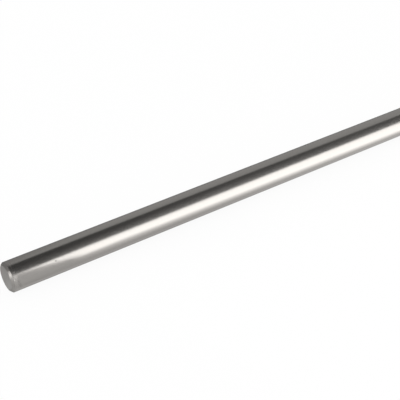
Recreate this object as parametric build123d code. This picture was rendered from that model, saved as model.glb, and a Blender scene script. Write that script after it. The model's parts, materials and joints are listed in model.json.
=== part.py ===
from build123d import *
from math import radians, tan
import os

# Earth rod: one plain solid round bar of stainless steel, cut square to a length that
# such rods are sold in and turned to a chamfer at both ends, so that it starts easily
# in the ground and in a clamp. It lies on level ground along X, with its lowest line
# on Z = 0 and the origin under the middle of its length.

# Driving dimensions, in millimetres and degrees
rod_diameter = 16.0    # bright drawn shank, the size that rod clamps are made for
rod_length = 1500.0    # from end face to end face
chamfer_length = 1.2   # of each end's chamfer, measured along the rod
chamfer_angle = 45.0   # between the chamfer's slope and the rod's axis
edge_radius = 0.2      # rounding left on the turned edges at both sides of a chamfer

# Sizes that follow
shank_radius = rod_diameter / 2
chamfer_depth = chamfer_length * tan(radians(chamfer_angle))
face_radius = shank_radius - chamfer_depth
end_x = rod_length / 2


def half_section():
    """The section on one side of the axis, with X along the rod and Y outwards."""
    outline = Polyline(
        (-end_x, 0),
        (-end_x, face_radius),
        (-end_x + chamfer_length, shank_radius),
        (end_x - chamfer_length, shank_radius),
        (end_x, face_radius),
        (end_x, 0),
        close=True,
    )
    section = make_face(outline)
    turned_corners = section.vertices().filter_by(lambda corner: corner.Y > 0)
    return fillet(turned_corners, edge_radius)


def earth_rod():
    """The bar turned from its half section and laid on the ground."""
    bar = revolve(half_section(), Axis.X)
    return Pos(0, 0, shank_radius) * bar


os.makedirs("parts", exist_ok=True)
export_step(earth_rod(), "parts/earth_rod.step")
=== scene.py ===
import json
from math import cos, hypot, radians, sin, tan, tau

import bpy
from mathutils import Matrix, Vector


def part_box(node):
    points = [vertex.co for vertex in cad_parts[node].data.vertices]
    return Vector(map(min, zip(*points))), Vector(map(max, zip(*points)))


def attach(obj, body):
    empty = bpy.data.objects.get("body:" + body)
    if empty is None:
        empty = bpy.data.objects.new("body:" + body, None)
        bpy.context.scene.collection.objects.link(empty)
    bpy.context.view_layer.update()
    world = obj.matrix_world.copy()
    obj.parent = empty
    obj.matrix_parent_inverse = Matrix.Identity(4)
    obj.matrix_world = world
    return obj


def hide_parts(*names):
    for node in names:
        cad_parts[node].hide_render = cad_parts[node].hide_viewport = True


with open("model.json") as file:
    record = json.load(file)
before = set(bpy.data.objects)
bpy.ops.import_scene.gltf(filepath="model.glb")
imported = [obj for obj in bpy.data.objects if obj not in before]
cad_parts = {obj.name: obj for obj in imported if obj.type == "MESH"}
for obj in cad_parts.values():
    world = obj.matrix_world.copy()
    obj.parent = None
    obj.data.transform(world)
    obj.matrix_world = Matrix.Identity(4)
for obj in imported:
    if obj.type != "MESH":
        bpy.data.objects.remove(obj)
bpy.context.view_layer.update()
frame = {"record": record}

MM = 0.001

# The rod, in metres. Its length, diameter, place and chamfers come from the frame.
ROD_LOW, ROD_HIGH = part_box("earth_rod")
SHANK = next(mount for mount in frame["record"]["mounts"] if mount["name"] == "shank")
ROD_RADIUS = SHANK["dims"]["r_mm"] * MM
ROD_LENGTH = ROD_HIGH.x - ROD_LOW.x
SHANK_LENGTH = SHANK["dims"]["length_mm"] * MM
AXIS_HEIGHT = SHANK["pos_m"][2]
CHAMFER_LENGTH = (ROD_LENGTH - SHANK_LENGTH) / 2
CHAMFER_ANGLE = radians(45)
EDGE_RADIUS = 0.2 * MM
END_X = ROD_LENGTH / 2

# Rows and columns of the rod's mesh, close together at the ends, where there is detail
SIDES = 180
EDGE_STEPS = 5
TURNED_SPACING = 0.07 * MM
WORN_LENGTH = 6 * MM
WORN_SPACING = 0.2 * MM
SHANK_ROWS = 99
WELD_DISTANCE = 0.001 * MM

# Strips of the shank, one above the other, on the map that textures are drawn on
STRIPS = 4

# Marks that the tools and handling left in the shape
GROOVE_PITCH = 0.35 * MM
GROOVE_DEPTH = 0.009 * MM
NICK_DEPTH = 0.08 * MM
NICK_REACH = 0.45 * MM
NICK_SIZE = 1.6 * MM
NICK_RARITY = 0.56
NICK_SOFTNESS = 0.12
NICK_SEED = 4.0

# Patterns in the finish of the steel
LINE_SIZE = (150 * MM, 0.7 * MM, 0.7 * MM)
LINE_DETAIL = 3.0
CLOUD_SIZE = (60 * MM, 6 * MM, 6 * MM)
DULLED_LENGTH = 4.5 * MM
RING_WIDTH = 0.12 * MM
RING_DETAIL = 1.0
STAIN_SIZE = (3 * MM, 3 * MM, 3 * MM)

# Single marks: how far from the near end, how high above the level line in front,
# their size along X, Y and Z, and their turn about Y
CLAMP_MARK = (3.75 * MM, radians(1.5), (1.1 * MM, 3 * MM, 4.2 * MM), radians(-14))
# A thin darker line that slants along the front of the shank, below level, near the near end
DARK_LINE = (14.2 * MM, radians(-12.7), (11 * MM, 0.5 * MM, 0.45 * MM), radians(3.6))
PIT = (24.3 * MM, radians(33), (0.55 * MM, 0.5 * MM, 0.5 * MM))
# Painted shade: a darker patch on the front of the near end's rim
RIM_SHADE = (0.95 * MM, radians(-2), (0.4 * MM, 0.8 * MM, 2.4 * MM))
DENT_SIZE = (0.4 * MM, 0.4 * MM, 0.4 * MM)
DENTS = (
    (2.84 * MM, radians(49), DENT_SIZE),
    (1.7 * MM, radians(26), DENT_SIZE),
    (1.45 * MM, radians(35), DENT_SIZE),
)
MARK_CORE = 0.2

# The steel's colour, and its two finishes. Each trait has a plain value, and what each
# pattern adds to it. The gloss spreads round the shank, a quarter turn from its lines.
STEEL = (0.62, 0.595, 0.565)
DRAWN = {
    "brightness": (0.97, {
        "lines": 0.04, "clouds": 0.04, "clamp_mark": -0.16, "dark_line": -0.12, "pit": -0.4,
    }),
    "roughness": (0.142, {
        "lines": 0.04, "clouds": 0.04, "clamp_mark": 0.05, "pit": 0.2, "dulled": 0.17,
    }),
    "spread": (0.87, {"dulled": -0.87}),
    "spread_turn": 0.25,
    "relief": (0.0, {"lines": 1.0, "pit": -4.0, "dents": -16.0}),
    "relief_height": 0.004 * MM,
}
# In the turned finish, the rim mark darkens the front of the near end's rim as painted shade.
TURNED = {
    "brightness": (0.82, {"rings": 0.06, "stains": 0.14, "rim_shade": -0.1}),
    "roughness": (0.24, {"rings": 0.06, "stains": 0.08}),
    "spread": (0.4, {}),
    "spread_turn": 0.0,
    "relief": (0.0, {"rings": 1.0}),
    "relief_height": 0.002 * MM,
}

# The camera, as the photograph's vanishing point and the two sizes of the bar give it
CAMERA_FROM_END = Vector((-0.12332, -0.35437, 0.31261))
CAMERA_HEADING = radians(-33.895)
CAMERA_PITCH = radians(36.142)
CAMERA_LENS = 87.54
CAMERA_SENSOR = 36.0

# The studio's floor, in metres, and how much of the white on it hides its shading
FLOOR_SIZE = 12.0
FLOOR_COLOUR = (0.95, 0.95, 0.95, 1)
FLOOR_WHITENESS = 0.93

# The room that the metal mirrors, of glowing cards whose glows are painted light and shade. A glow of
# 1 is white.
ROOM_BACK = 1.5
ROOM_FRONT = 2.5
ROOM_SIDE = 2.5
ROOM_HEIGHT = ROOM_BACK * tan(radians(56.5))
WALL_GLOW = 0.47
BACK_CORNER = (-0.34, -0.13)
BACK_CORNER_GLOW = 0.23
BACK_WALL_GLOW = 0.33
SIDE_WALL_GLOW = 0.22
SIDE_WALL_FADE = 1.2
LEFT_WALL_TOP_GLOW = 0.26
RIGHT_WALL_TOP_GLOW = 0.16
CEILING_GLOW = 0.04
CEILING_FRONT_GLOW = 0.17
CEILING_DEPTH = (0.6, -1.9)
CEILING_WIDTH = (-0.2, 0.6)
CEILING_LEFT_SHARE = 0.4

# The lights that the metal mirrors. The softbox's top edge is given by places along it and
# by how steeply the rod looks up at each.
SCREEN_DISTANCE = 0.62
SCREEN_START = -1.5
SCREEN_TOP = SCREEN_DISTANCE * tan(radians(47))
SOFTBOX_DISTANCE = 0.6
SOFTBOX_START = -0.52
SOFTBOX_END = 1.5
SOFTBOX_TOP = (
    (-0.544, radians(39.6)),
    (-0.4, radians(40)),
    (-0.15, radians(37.6)),
    (SOFTBOX_END, radians(37.7)),
)
SOFTBOX_GLOW = 1.67
REAR_SOFTBOX_DISTANCE = 1.45
REAR_SOFTBOX_WIDTH = (1.0, 2.4)
REAR_SOFTBOX_TOP = 0.9
REAR_SOFTBOX_GLOW = 1.3
SIDE_LIGHT_X = -1.65
SIDE_LIGHT_WIDTH = (-0.36, 0.13)
SIDE_LIGHT_TOP = 0.42
SIDE_LIGHT_FADE = 0.28
SIDE_LIGHT_FOOT_GLOW = 0.9
SIDE_LIGHT_GLOW = 1.75
SIDE_LIGHT_TAIL = 0.45
SIDE_LIGHT_TAIL_GLOW = 0.4

# The sheet under the rod, a glowing card with painted light and painted shadow on it. In front,
# three changes by the distance from the rod and two by the place along it: where each starts and
# ends, and what it adds. The first paints a shadow under the rod, the second a darker band of
# painted shade past it, and the third makes the sheet paler farther out.
SHEET_HEIGHT = 0.2 * MM
SHEET_GLOW = 0.34
SHEET_CONTACT_SHADOW = (4 * MM, 7 * MM, 0.16)
SHEET_SHADOW_LINE = (7 * MM, 11 * MM, -0.07)
SHEET_OUT = (12 * MM, 20 * MM, 0.055)
SHEET_RISE = (-0.66, -0.50, 0.11)
SHEET_LEFT = (-0.765, -1.05, 0.36)
SHEET_MOST = 1.7

# Painted softbox light on the sheet, past a painted shadow edge that slants away from the rod
LIT_EDGE_X = -0.7158
LIT_EDGE_LEAN = 0.33
LIT_EDGE_SOFTNESS = 4 * MM
LIT_EDGE_STEP = 0.4
LIT_EDGE_LIP = (27 * MM, 65 * MM, LIT_EDGE_STEP, 1.1)
LIT_GAIN = 17.5
LIT_REACH = (10 * MM, 68 * MM)

# The sheet behind the rod, darkened there by the rod's painted shadow, and past its ends
BEHIND_REACH = (20 * MM, 160 * MM)
BEHIND_GLOW = 0.06
BEYOND_REACH = (0.0, 40 * MM)
BEYOND_GLOW = (0.49, 0.23)


# Small helpers for node trees

def feed(tree, socket, value):
    """Gives a node's input a value, or links another node's output to it."""
    if isinstance(value, bpy.types.NodeSocket):
        tree.links.new(value, socket)
    else:
        socket.default_value = value


def add_node(tree, kind, inputs=(), **settings):
    """Adds a node, sets its properties, and feeds its inputs, which are given by name or number."""
    node = tree.nodes.new(kind)
    for name, value in settings.items():
        setattr(node, name, value)
    for name, value in dict(inputs).items():
        feed(tree, node.inputs[name], value)
    return node


def maths(tree, operation, *values):
    """The output of one Math node."""
    return add_node(tree, "ShaderNodeMath", dict(enumerate(values)), operation=operation).outputs[0]


def vector_maths(tree, operation, inputs):
    """The vector that one Vector Math node gives."""
    return add_node(tree, "ShaderNodeVectorMath", inputs, operation=operation).outputs["Vector"]


def ramp(tree, value, low, high, to_low=0.0, to_high=1.0, shape="LINEAR"):
    """Goes from to_low, where the value is at low, to to_high at high, and stays there."""
    reach = {"Value": value, "From Min": low, "From Max": high, "To Min": to_low, "To Max": to_high}
    return add_node(tree, "ShaderNodeMapRange", reach, interpolation_type=shape).outputs[0]


def either(tree, choice, no, yes):
    """One number where the choice is 0, and another where it is 1."""
    return add_node(tree, "ShaderNodeMix", {0: choice, 2: no, 3: yes}).outputs[0]


def added(tree, start, *shares):
    """start plus each value times its share."""
    for value, share in shares:
        start = maths(tree, "MULTIPLY_ADD", value, share, start)
    return start


def parts_of(tree, vector):
    """The X, Y and Z of a vector."""
    return add_node(tree, "ShaderNodeSeparateXYZ", {0: vector}).outputs


def from_middle(tree, place):
    """How far a place is from the middle of the rod's length."""
    return maths(tree, "ABSOLUTE", parts_of(tree, place)[0])


# The rod's mesh

BAR_INPUTS = {
    "Radius": "NodeSocketFloat",
    "Length": "NodeSocketFloat",
    "Chamfer Length": "NodeSocketFloat",
    "Chamfer Angle": "NodeSocketFloat",
    "Edge Radius": "NodeSocketFloat",
    "Axis Height": "NodeSocketFloat",
    "Sides": "NodeSocketInt",
    "Edge Steps": "NodeSocketInt",
    "Turned Spacing": "NodeSocketFloat",
    "Worn Length": "NodeSocketFloat",
    "Worn Spacing": "NodeSocketFloat",
    "Shank Rows": "NodeSocketInt",
    "Weld Distance": "NodeSocketFloat",
    "Groove Pitch": "NodeSocketFloat",
    "Groove Depth": "NodeSocketFloat",
    "Nick Depth": "NodeSocketFloat",
    "Nick Reach": "NodeSocketFloat",
    "Nick Size": "NodeSocketFloat",
    "Nick Rarity": "NodeSocketFloat",
    "Nick Softness": "NodeSocketFloat",
    "Nick Seed": "NodeSocketFloat",
    "Shank Finish": "NodeSocketMaterial",
    "End Finish": "NodeSocketMaterial",
}


def position(tree):
    """Where each point is."""
    return add_node(tree, "GeometryNodeInputPosition").outputs[0]


def shank_start(tree, size):
    """How far from the middle of the rod its chamfers begin."""
    half = maths(tree, "MULTIPLY", size["Length"], 0.5)
    return maths(tree, "SUBTRACT", half, size["Chamfer Length"])


def on_turned_end(tree, size, place):
    """1 on faces and chamfers, and 0 on the shank."""
    return maths(tree, "GREATER_THAN", from_middle(tree, place), shank_start(tree, size))


def profile_corners(tree, size):
    """The turned profile's corners, from one end's centre to the other's: X along, Y outwards."""
    half = maths(tree, "MULTIPLY", size["Length"], 0.5)
    slope = maths(tree, "TANGENT", size["Chamfer Angle"])
    depth = maths(tree, "MULTIPLY", size["Chamfer Length"], slope)
    outline = [
        (half, 0.0),
        (half, maths(tree, "SUBTRACT", size["Radius"], depth)),
        (shank_start(tree, size), size["Radius"]),
        (maths(tree, "SUBTRACT", half, size["Worn Length"]), size["Radius"]),
    ]
    corners = [(maths(tree, "MULTIPLY", x, -1.0), r) for x, r in outline]
    corners += reversed(outline)
    return [
        add_node(tree, "ShaderNodeCombineXYZ", {"X": x, "Y": r}).outputs[0] for x, r in corners
    ]


def rounded_profile(tree, size):
    """The profile as a line, with its turned corners rounded."""
    corners = profile_corners(tree, size)
    points = add_node(tree, "GeometryNodeMeshLine", {"Count": len(corners)}).outputs[0]
    index = add_node(tree, "GeometryNodeInputIndex").outputs[0]
    place = add_node(tree, "GeometryNodeIndexSwitch", data_type="VECTOR")
    while len(place.index_switch_items) < len(corners):
        place.index_switch_items.new()
    feed(tree, place.inputs["Index"], index)
    for number, corner in enumerate(corners):
        feed(tree, place.inputs[number + 1], corner)
    placed = {"Geometry": points, "Position": place.outputs[0]}
    points = add_node(tree, "GeometryNodeSetPosition", placed).outputs[0]
    line = add_node(tree, "GeometryNodeMeshToCurve", {"Mesh": points}).outputs[0]

    # Corners 1 and 2 from either end are the ones that the tool turned.
    to_other_end = maths(tree, "SUBTRACT", len(corners) - 1.0, index)
    from_end = maths(tree, "MINIMUM", index, to_other_end)
    turned = maths(tree, "COMPARE", from_end, 1.5, 0.6)
    rounding = {
        "Curve": line,
        "Radius": maths(tree, "MULTIPLY", size["Edge Radius"], turned),
        "Count": maths(tree, "MULTIPLY", size["Edge Steps"], turned),
        "Limit Radius": True,
    }
    return add_node(tree, "GeometryNodeFilletCurve", rounding, mode="POLY").outputs[0]


def with_rows(tree, line, size):
    """The profile in rows: closest on the turned ends, close beside them, and far apart between."""
    here = position(tree)
    after = maths(tree, "ADD", add_node(tree, "GeometryNodeInputIndex").outputs[0], 1.0)
    there = {"Index": after, "Value": here}
    there = add_node(tree, "GeometryNodeFieldAtIndex", there, data_type="FLOAT_VECTOR").outputs[0]
    stretch = {0: here, 1: there}
    stretch = add_node(tree, "ShaderNodeVectorMath", stretch, operation="DISTANCE")
    both = vector_maths(tree, "ADD", {0: here, 1: there})
    half_way = vector_maths(tree, "SCALE", {0: both, "Scale": 0.5})
    on_end = on_turned_end(tree, size, half_way)
    spacing = either(tree, on_end, size["Worn Spacing"], size["Turned Spacing"])
    rows = maths(tree, "DIVIDE", stretch.outputs["Value"], spacing)
    rows = maths(tree, "MINIMUM", rows, size["Shank Rows"])
    split = {"Curve": line, "Cuts": rows}
    return add_node(tree, "GeometryNodeSubdivideCurve", split).outputs[0]


def with_grooves(tree, line, size):
    """The profile with the shallow groove that the tool cut into faces and chamfers at each turn."""
    along = add_node(tree, "GeometryNodeSplineParameter").outputs["Length"]
    whole = add_node(tree, "GeometryNodeSplineLength").outputs["Length"]
    from_centre = maths(tree, "MINIMUM", along, maths(tree, "SUBTRACT", whole, along))
    phase = maths(tree, "MULTIPLY", maths(tree, "DIVIDE", from_centre, size["Groove Pitch"]), tau)
    wave = maths(tree, "MULTIPLY_ADD", maths(tree, "COSINE", phase), -0.5, 0.5)
    on_end = on_turned_end(tree, size, position(tree))
    depth = maths(tree, "MULTIPLY", maths(tree, "MULTIPLY", wave, on_end), size["Groove Depth"])
    tangent = add_node(tree, "GeometryNodeInputTangent").outputs[0]
    inwards = vector_maths(tree, "CROSS_PRODUCT", {0: tangent, 1: (0, 0, 1)})
    offset = vector_maths(tree, "SCALE", {0: inwards, "Scale": depth})
    grooved = {"Geometry": line, "Offset": offset}
    return add_node(tree, "GeometryNodeSetPosition", grooved).outputs[0]


def wrapped_round(tree, line, size):
    """A grid wrapped round the axis along the profile, closed at its lowest line and both centres."""
    count = {"Geometry": line}
    count = add_node(tree, "GeometryNodeAttributeDomainSize", count, component="CURVE")
    count = count.outputs["Point Count"]
    columns = maths(tree, "ADD", size["Sides"], 1.0)
    grid = {"Size X": 1.0, "Size Y": 1.0, "Vertices X": count, "Vertices Y": columns}
    grid = add_node(tree, "GeometryNodeMeshGrid", grid)
    across = parts_of(tree, position(tree))
    steps = maths(tree, "SUBTRACT", count, 1.0)
    row = maths(tree, "MULTIPLY", maths(tree, "ADD", across[0], 0.5), steps)
    row = maths(tree, "ROUND", row)
    turn = maths(tree, "MULTIPLY", maths(tree, "ADD", across[1], 0.5), tau)
    on_line = {"Geometry": line, "Value": position(tree), "Index": row}
    on_line = add_node(
        tree, "GeometryNodeSampleIndex", on_line, data_type="FLOAT_VECTOR", domain="POINT"
    )
    along, out, _ = parts_of(tree, on_line.outputs[0])
    back = maths(tree, "MULTIPLY", out, -1.0)
    drop = maths(tree, "COSINE", turn)
    place = {
        "X": along,
        "Y": maths(tree, "MULTIPLY", back, maths(tree, "SINE", turn)),
        "Z": maths(tree, "MULTIPLY_ADD", back, drop, size["Axis Height"]),
    }
    place = add_node(tree, "ShaderNodeCombineXYZ", place).outputs[0]
    bar = {"Geometry": grid.outputs["Mesh"], "Name": "rod_map", "Value": grid.outputs["UV Map"]}
    bar = add_node(
        tree, "GeometryNodeStoreNamedAttribute", bar, data_type="FLOAT2", domain="CORNER"
    )
    bar = {"Geometry": bar.outputs[0], "Position": place}
    bar = add_node(tree, "GeometryNodeSetPosition", bar)
    bar = {"Geometry": bar.outputs[0], "Distance": size["Weld Distance"]}
    return add_node(tree, "GeometryNodeMergeByDistance", bar).outputs[0]


def with_nicks(tree, bar, size):
    """The bar with small nicks where the outer rims of its chamfers have been knocked."""
    here = position(tree)
    from_rim = maths(tree, "SUBTRACT", from_middle(tree, here), shank_start(tree, size))
    from_rim = maths(tree, "ABSOLUTE", from_rim)
    near = ramp(tree, from_rim, 0.0, size["Nick Reach"], 1.0, 0.0, "SMOOTHSTEP")
    fineness = maths(tree, "DIVIDE", 1.0, size["Nick Size"])
    noise = {"Vector": here, "W": size["Nick Seed"], "Scale": fineness}
    noise = add_node(tree, "ShaderNodeTexNoise", noise, noise_dimensions="4D").outputs[0]
    full_from = maths(tree, "ADD", size["Nick Rarity"], size["Nick Softness"])
    knocked = ramp(tree, noise, size["Nick Rarity"], full_from, shape="SMOOTHSTEP")
    depth = maths(tree, "MULTIPLY", maths(tree, "MULTIPLY", near, knocked), size["Nick Depth"])
    normal = add_node(tree, "GeometryNodeInputNormal").outputs[0]
    inwards = {0: normal, "Scale": maths(tree, "MULTIPLY", depth, -1.0)}
    nicked = {"Geometry": bar, "Offset": vector_maths(tree, "SCALE", inwards)}
    return add_node(tree, "GeometryNodeSetPosition", nicked).outputs[0]


def with_finishes(tree, bar, size):
    """The bar with one finish on its shank, and the other on its turned ends."""
    bar = add_node(tree, "GeometryNodeRealizeInstances", {"Geometry": bar}).outputs[0]
    shank = {"Geometry": bar, "Material": size["Shank Finish"]}
    bar = add_node(tree, "GeometryNodeSetMaterial", shank).outputs[0]
    on_end = on_turned_end(tree, size, position(tree))
    end = {"Geometry": bar, "Material": size["End Finish"], "Selection": on_end}
    return add_node(tree, "GeometryNodeSetMaterial", end).outputs[0]


def turned_bar_tree():
    """A round bar turned about X, with tool marks on its ends and nicks on its rims."""
    tree = bpy.data.node_groups.new("turned_bar", "GeometryNodeTree")
    tree.is_modifier = True
    for name, kind in BAR_INPUTS.items():
        tree.interface.new_socket(name, in_out="INPUT", socket_type=kind)
    tree.interface.new_socket("Geometry", in_out="OUTPUT", socket_type="NodeSocketGeometry")
    size = add_node(tree, "NodeGroupInput").outputs
    line = rounded_profile(tree, size)
    line = with_rows(tree, line, size)
    line = with_grooves(tree, line, size)
    bar = wrapped_round(tree, line, size)
    bar = with_nicks(tree, bar, size)
    bar = with_finishes(tree, bar, size)
    add_node(tree, "NodeGroupOutput", {"Geometry": bar})
    return tree


def made_mesh(name, tree, sizes):
    """Runs a geometry tree with the given sizes and keeps its result as a plain mesh object."""
    maker = bpy.data.objects.new(name, bpy.data.meshes.new(name))
    bpy.context.scene.collection.objects.link(maker)
    modifier = maker.modifiers.new(tree.name, "NODES")
    modifier.node_group = tree
    for item in tree.interface.items_tree:
        if item.item_type == "SOCKET" and item.in_out == "INPUT":
            modifier[item.identifier] = sizes[item.name]
    maker.update_tag()
    graph = bpy.context.evaluated_depsgraph_get()
    mesh = bpy.data.meshes.new_from_object(maker.evaluated_get(graph))
    maker.modifiers.clear()
    maker.data = mesh
    mesh.name = name

    # The grid comes with an empty slot in front of the two finishes.
    if mesh.materials[0] is None:
        mesh.materials.pop(index=0)
    return maker


def add_strip_map(mesh):
    """A second map of the rod, to draw textures on: the shank in strips, and the ends in one more."""
    turns = mesh.uv_layers["rod_map"].uv
    strips = mesh.uv_layers.new(name="OFBake", do_init=False).uv
    plain_end = END_X - WORN_LENGTH
    strip_length = 2 * plain_end / STRIPS
    end_reach = 2 * (ROD_RADIUS + WORN_LENGTH)
    for face in mesh.polygons:
        strip = int((face.center.x + plain_end) // strip_length)
        on_end = not 0 <= strip < STRIPS
        for corner in face.loop_indices:
            x, y, z = mesh.vertices[mesh.loops[corner].vertex_index].co
            if on_end:
                # The near end takes the first half of the last strip, and the far end the other.
                from_centre = hypot(y, z - AXIS_HEIGHT) + END_X - abs(x)
                along = from_centre / end_reach + (0.5 if face.center.x > 0 else 0)
                band = STRIPS
            else:
                along = (x + plain_end) / strip_length - strip
                band = strip
            strips[corner].vector = (along, (band + turns[corner].vector.y) / (STRIPS + 1))


# Finishes

def new_material(name):
    """A material with nothing in it but its shader, its node tree, and the shader."""
    material = bpy.data.materials.new(name)
    material.use_nodes = True
    return material, material.node_tree, material.node_tree.nodes["Principled BSDF"]


def on_piece(tree):
    """The place on the piece, in metres."""
    return add_node(tree, "ShaderNodeTexCoord").outputs["Object"]


def pattern(tree, size, detail=2.0):
    """A random pattern from 0 to 1, with spots of about the given size along X, Y and Z."""
    place = {"Vector": on_piece(tree), "Scale": size}
    place = add_node(tree, "ShaderNodeMapping", place, vector_type="TEXTURE").outputs[0]
    noise = {"Vector": place, "Scale": 1.0, "Detail": detail}
    return add_node(tree, "ShaderNodeTexNoise", noise).outputs[0]


def mark(tree, from_end, up, size, turn=0.0):
    """1 in the middle of a single mark on the round of the bar, and 0 outside its size."""
    place = (
        -END_X + from_end,
        -cos(up) * ROD_RADIUS,
        AXIS_HEIGHT + sin(up) * ROD_RADIUS,
    )
    near = {"Vector": on_piece(tree), "Location": place, "Rotation": (0, turn, 0), "Scale": size}
    near = add_node(tree, "ShaderNodeMapping", near, vector_type="TEXTURE").outputs[0]
    distance = add_node(tree, "ShaderNodeVectorMath", {0: near}, operation="LENGTH")
    return ramp(tree, distance.outputs["Value"], 1.0, MARK_CORE, shape="SMOOTHSTEP")


def mixed(tree, patterns, trait):
    """A trait's plain value, plus each pattern times the share that the trait gives it."""
    plain, shares = trait
    return added(tree, plain, *((patterns[name], share) for name, share in shares.items()))


def give_finish(tree, shader, patterns, finish):
    """Gives a metal the colour, roughness, gloss and relief of a finish."""
    colour = {0: STEEL, "Scale": mixed(tree, patterns, finish["brightness"])}
    bump = {"Distance": finish["relief_height"], "Height": mixed(tree, patterns, finish["relief"])}
    bump = add_node(tree, "ShaderNodeBump", bump).outputs[0]
    tangent = add_node(tree, "ShaderNodeTangent", direction_type="UV_MAP", uv_map="rod_map")
    traits = {
        "Base Color": vector_maths(tree, "SCALE", colour),
        "Metallic": 1.0,
        "Roughness": mixed(tree, patterns, finish["roughness"]),
        "Anisotropic": mixed(tree, patterns, finish["spread"]),
        "Anisotropic Rotation": finish["spread_turn"],
        "Normal": bump,
        "Tangent": tangent.outputs[0],
    }
    for name, value in traits.items():
        feed(tree, shader.inputs[name], value)


def drawn_steel():
    """The shank: bright drawn steel with fine lines along it, dulled near its chamfers."""
    material, tree, shader = new_material("drawn_steel")
    from_centre = from_middle(tree, on_piece(tree))
    dulled = ramp(
        tree, from_centre, END_X - DULLED_LENGTH, END_X - CHAMFER_LENGTH, shape="SMOOTHSTEP"
    )
    patterns = {
        "lines": pattern(tree, LINE_SIZE, LINE_DETAIL),
        "clouds": pattern(tree, CLOUD_SIZE),
        "dulled": dulled,
        "clamp_mark": mark(tree, *CLAMP_MARK),
        "dark_line": mark(tree, *DARK_LINE),
        "pit": mark(tree, *PIT),
        "dents": added(tree, 0.0, *((mark(tree, *dent), 1.0) for dent in DENTS)),
    }
    give_finish(tree, shader, patterns, DRAWN)
    return material


def turned_steel():
    """The faces and chamfers: steel as the cutting tool left it, a little rough and stained, with
    painted shade on the front of the near end's rim.
    """
    material, tree, shader = new_material("turned_steel")
    _, y, z = parts_of(tree, on_piece(tree))
    up = maths(tree, "SUBTRACT", z, AXIS_HEIGHT)
    radius = maths(tree, "SQRT", added(tree, maths(tree, "MULTIPLY", y, y), (up, up)))
    rings = {"W": radius, "Scale": 1 / RING_WIDTH, "Detail": RING_DETAIL}
    patterns = {
        "rings": add_node(tree, "ShaderNodeTexNoise", rings, noise_dimensions="1D").outputs[0],
        "stains": pattern(tree, STAIN_SIZE),
        # The rim mark is painted shade.
        "rim_shade": mark(tree, *RIM_SHADE),
    }
    give_finish(tree, shader, patterns, TURNED)
    return material


def build_rod():
    """The whole bar, in the place of the CAD model's."""
    sizes = {
        "Radius": ROD_RADIUS,
        "Length": ROD_LENGTH,
        "Chamfer Length": CHAMFER_LENGTH,
        "Chamfer Angle": CHAMFER_ANGLE,
        "Edge Radius": EDGE_RADIUS,
        "Axis Height": AXIS_HEIGHT,
        "Sides": SIDES,
        "Edge Steps": EDGE_STEPS,
        "Turned Spacing": TURNED_SPACING,
        "Worn Length": WORN_LENGTH,
        "Worn Spacing": WORN_SPACING,
        "Shank Rows": SHANK_ROWS,
        "Weld Distance": WELD_DISTANCE,
        "Groove Pitch": GROOVE_PITCH,
        "Groove Depth": GROOVE_DEPTH,
        "Nick Depth": NICK_DEPTH,
        "Nick Reach": NICK_REACH,
        "Nick Size": NICK_SIZE,
        "Nick Rarity": NICK_RARITY,
        "Nick Softness": NICK_SOFTNESS,
        "Nick Seed": NICK_SEED,
        "Shank Finish": drawn_steel(),
        "End Finish": turned_steel(),
    }
    rod = made_mesh("rod", turned_bar_tree(), sizes)
    rod.data.shade_smooth()
    add_strip_map(rod.data)
    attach(rod, "root")
    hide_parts("earth_rod")


# Studio

def add_camera():
    """The photograph's viewpoint, close to the near end and looking down along the bar."""
    data = bpy.data.cameras.new("camera")
    data.sensor_width = CAMERA_SENSOR
    data.lens = CAMERA_LENS
    camera = bpy.data.objects.new("camera", data)
    camera.location = Vector((-END_X, 0, AXIS_HEIGHT)) + CAMERA_FROM_END
    camera.rotation_euler = (radians(90) - CAMERA_PITCH, 0, CAMERA_HEADING)
    bpy.context.scene.collection.objects.link(camera)
    bpy.context.scene.camera = camera


def add_world():
    """An even white sky, which lights the floor at a plain level."""
    world = bpy.data.worlds.new("studio")
    world.use_nodes = True
    world.node_tree.nodes["Background"].inputs["Color"].default_value = (1, 1, 1, 1)
    bpy.context.scene.world = world


def stage_sheet(name, corners, material):
    """A flat sheet with the given corners, which belongs to the studio."""
    mesh = bpy.data.meshes.new(name)
    mesh.from_pydata([tuple(corner) for corner in corners], [], [tuple(range(len(corners)))])
    mesh.materials.append(material)
    sheet = bpy.data.objects.new(name, mesh)
    bpy.context.scene.collection.objects.link(sheet)
    return sheet


def add_floor():
    """A white floor that fades the rod's shadow, but keeps it."""
    material, tree, shader = new_material("pale_floor")
    shader.inputs["Base Color"].default_value = FLOOR_COLOUR
    shader.inputs["Roughness"].default_value = 1.0
    white = add_node(tree, "ShaderNodeEmission").outputs[0]
    path = add_node(tree, "ShaderNodeLightPath").outputs
    seen = maths(tree, "MAXIMUM", path["Is Camera Ray"], path["Is Glossy Ray"])
    seen = maths(tree, "MAXIMUM", seen, path["Is Transmission Ray"])
    share = maths(tree, "MULTIPLY", seen, FLOOR_WHITENESS)
    floor = add_node(tree, "ShaderNodeMixShader", {0: share, 1: shader.outputs[0], 2: white})
    tree.links.new(floor.outputs[0], tree.nodes["Material Output"].inputs["Surface"])
    s = FLOOR_SIZE / 2
    stage_sheet("floor", [(-s, -s, 0), (s, -s, 0), (s, s, 0), (-s, s, 0)], material)


def glowing(name, strength):
    """A material that glows with a strength, or with what a function makes of tree and place."""
    material = bpy.data.materials.new(name)
    material.use_nodes = True
    tree = material.node_tree
    tree.nodes.remove(tree.nodes["Principled BSDF"])
    if callable(strength):
        strength = strength(tree, *parts_of(tree, on_piece(tree)))
    light = add_node(tree, "ShaderNodeEmission", {"Strength": strength})
    tree.links.new(light.outputs[0], tree.nodes["Material Output"].inputs["Surface"])
    return material


def add_card(name, corners, strength):
    """A glowing card that the metal mirrors, and that nothing else shows."""
    card = stage_sheet(name, corners, glowing(name, strength))
    card.visible_camera = False
    card.visible_diffuse = False
    card.visible_shadow = False
    card.visible_transmission = False
    card.visible_volume_scatter = False


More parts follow.
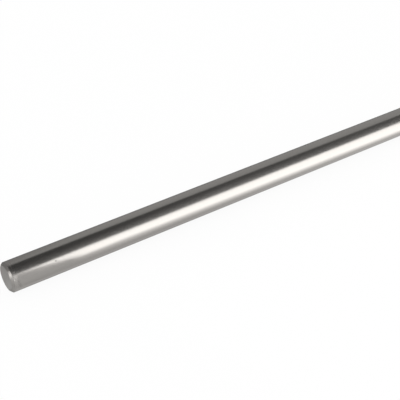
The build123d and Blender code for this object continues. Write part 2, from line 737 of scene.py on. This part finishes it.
def upright(start, end, low, high):
    """The corners of an upright card over the line between two places."""
    (x0, y0), (x1, y1) = start, end
    return [(x0, y0, low), (x1, y1, low), (x1, y1, high), (x0, y0, high)]


def ceiling_glow(tree, x, y, _z):
    """Dark, and less so towards the front and right."""
    front = ramp(tree, y, *CEILING_DEPTH)
    right = ramp(tree, x, *CEILING_WIDTH, CEILING_LEFT_SHARE, 1.0)
    front_right = maths(tree, "MULTIPLY", front, right)
    return added(tree, CEILING_GLOW, (front_right, CEILING_FRONT_GLOW - CEILING_GLOW))


def back_wall_glow(tree, x, _y, _z):
    """Grey, with painted shade darkening it into its left corner."""
    return ramp(tree, x, *BACK_CORNER, BACK_CORNER_GLOW, BACK_WALL_GLOW)


def left_wall_glow(tree, _x, _y, z):
    """A little brighter with the height."""
    return ramp(tree, z, 0.0, SIDE_WALL_FADE, SIDE_WALL_GLOW, LEFT_WALL_TOP_GLOW)


def right_wall_glow(tree, _x, _y, z):
    """A little dimmer with the height."""
    return ramp(tree, z, 0.0, SIDE_WALL_FADE, SIDE_WALL_GLOW, RIGHT_WALL_TOP_GLOW)


def side_light_glow(tree, _x, _y, z):
    """Brighter with the height."""
    return ramp(tree, z, 0.0, SIDE_LIGHT_FADE, SIDE_LIGHT_FOOT_GLOW, SIDE_LIGHT_GLOW)


def painted_softbox_light(tree, x, out):
    """Painted softbox light on the sheet: a step at a slanting shadow edge, and more beyond it."""
    edge = maths(tree, "MULTIPLY_ADD", out, LIT_EDGE_LEAN, LIT_EDGE_X)
    past = maths(tree, "SUBTRACT", x, edge)
    lit = ramp(tree, past, -LIT_EDGE_SOFTNESS, LIT_EDGE_SOFTNESS)
    gain = maths(tree, "MULTIPLY", maths(tree, "MAXIMUM", past, 0.0), LIT_GAIN)
    gain = maths(tree, "MULTIPLY_ADD", lit, LIT_EDGE_STEP, gain)
    lip = maths(tree, "MULTIPLY", lit, ramp(tree, out, *LIT_EDGE_LIP))
    gain = maths(tree, "MAXIMUM", gain, lip)
    return maths(tree, "MULTIPLY", gain, ramp(tree, out, *LIT_REACH))


def sheet_front_glow(tree, x, out):
    """Grey with painted shadow round the rod, and painted softbox light farther out."""
    glow = SHEET_GLOW
    for low, high, rise in (SHEET_CONTACT_SHADOW, SHEET_SHADOW_LINE, SHEET_OUT):
        glow = added(tree, glow, (ramp(tree, out, low, high), rise))
    for low, high, rise in (SHEET_RISE, SHEET_LEFT):
        glow = added(tree, glow, (ramp(tree, x, low, high), rise))
    glow = maths(tree, "ADD", glow, painted_softbox_light(tree, x, out))
    return maths(tree, "MINIMUM", glow, SHEET_MOST)


def sheet_glow(tree, x, y, _z):
    """The sheet in front of the rod, the painted shadow behind it, and the paler parts past its ends.
    """
    front = sheet_front_glow(tree, x, maths(tree, "MULTIPLY", y, -1.0))
    behind = ramp(tree, y, *BEHIND_REACH, BEHIND_GLOW, BACK_WALL_GLOW)
    beyond = ramp(tree, y, *BEYOND_REACH, *BEYOND_GLOW)
    past_ends = maths(tree, "GREATER_THAN", maths(tree, "ABSOLUTE", x), END_X)
    back = either(tree, past_ends, behind, beyond)
    return either(tree, maths(tree, "GREATER_THAN", y, 0.0), front, back)


def in_room(ahead, right):
    """A place on the floor, from the near end: ahead along the camera's heading, and to the right."""
    heading = Vector((-sin(CAMERA_HEADING), cos(CAMERA_HEADING)))
    across = Vector((cos(CAMERA_HEADING), sin(CAMERA_HEADING)))
    return Vector((-END_X, 0)) + heading * ahead + across * right


def add_room():
    """A grey room with a dark ceiling, square to the camera's heading."""
    foot = [
        in_room(ROOM_BACK, -ROOM_SIDE),
        in_room(ROOM_BACK, ROOM_SIDE),
        in_room(-ROOM_FRONT, ROOM_SIDE),
        in_room(-ROOM_FRONT, -ROOM_SIDE),
    ]
    walls = {
        "back_wall": back_wall_glow,
        "right_wall": right_wall_glow,
        "front_wall": WALL_GLOW,
        "left_wall": left_wall_glow,
    }
    for number, (name, strength) in enumerate(walls.items()):
        next_corner = foot[(number + 1) % len(foot)]
        add_card(name, upright(foot[number], next_corner, 0, ROOM_HEIGHT), strength)
    add_card("ceiling", [(*corner, ROOM_HEIGHT) for corner in foot], ceiling_glow)
    # The sheet glows with painted light and painted shadow, and only the metal shows it.
    add_card("sheet", [(*corner, SHEET_HEIGHT) for corner in foot], sheet_glow)


def add_front_lights():
    """A long softbox in front of the rod, and a pale screen to its left."""
    screen = [(x, -SCREEN_DISTANCE) for x in (SCREEN_START, SOFTBOX_START)]
    add_card("screen", upright(*screen, 0, SCREEN_TOP), WALL_GLOW)
    foot = [(x, 0.0) for x in (SOFTBOX_START, SOFTBOX_END)]
    top = [(x, SOFTBOX_DISTANCE * tan(slope)) for x, slope in reversed(SOFTBOX_TOP)]
    softbox = [(x, -SOFTBOX_DISTANCE, z) for x, z in foot + top]
    add_card("softbox", softbox, SOFTBOX_GLOW)


def add_rear_light():
    """A softbox behind the rod, out of what the photograph's view mirrors."""
    rear = [in_room(REAR_SOFTBOX_DISTANCE, place) for place in REAR_SOFTBOX_WIDTH]
    add_card("rear_softbox", upright(*rear, 0, REAR_SOFTBOX_TOP), REAR_SOFTBOX_GLOW)


def add_side_light():
    """A light off the near end, with a dim tail behind it."""
    start, end = SIDE_LIGHT_WIDTH
    light = [(SIDE_LIGHT_X, y) for y in (start, end)]
    add_card("side_light", upright(*light, 0, SIDE_LIGHT_TOP), side_light_glow)
    tail = [(SIDE_LIGHT_X, y) for y in (end, SIDE_LIGHT_TAIL)]
    add_card("side_light_tail", upright(*tail, 0, SIDE_LIGHT_TOP), SIDE_LIGHT_TAIL_GLOW)


build_rod()
add_camera()
add_world()
add_floor()
add_room()
add_front_lights()
add_rear_light()
add_side_light()
bpy.context.scene.view_settings.view_transform = "Standard"
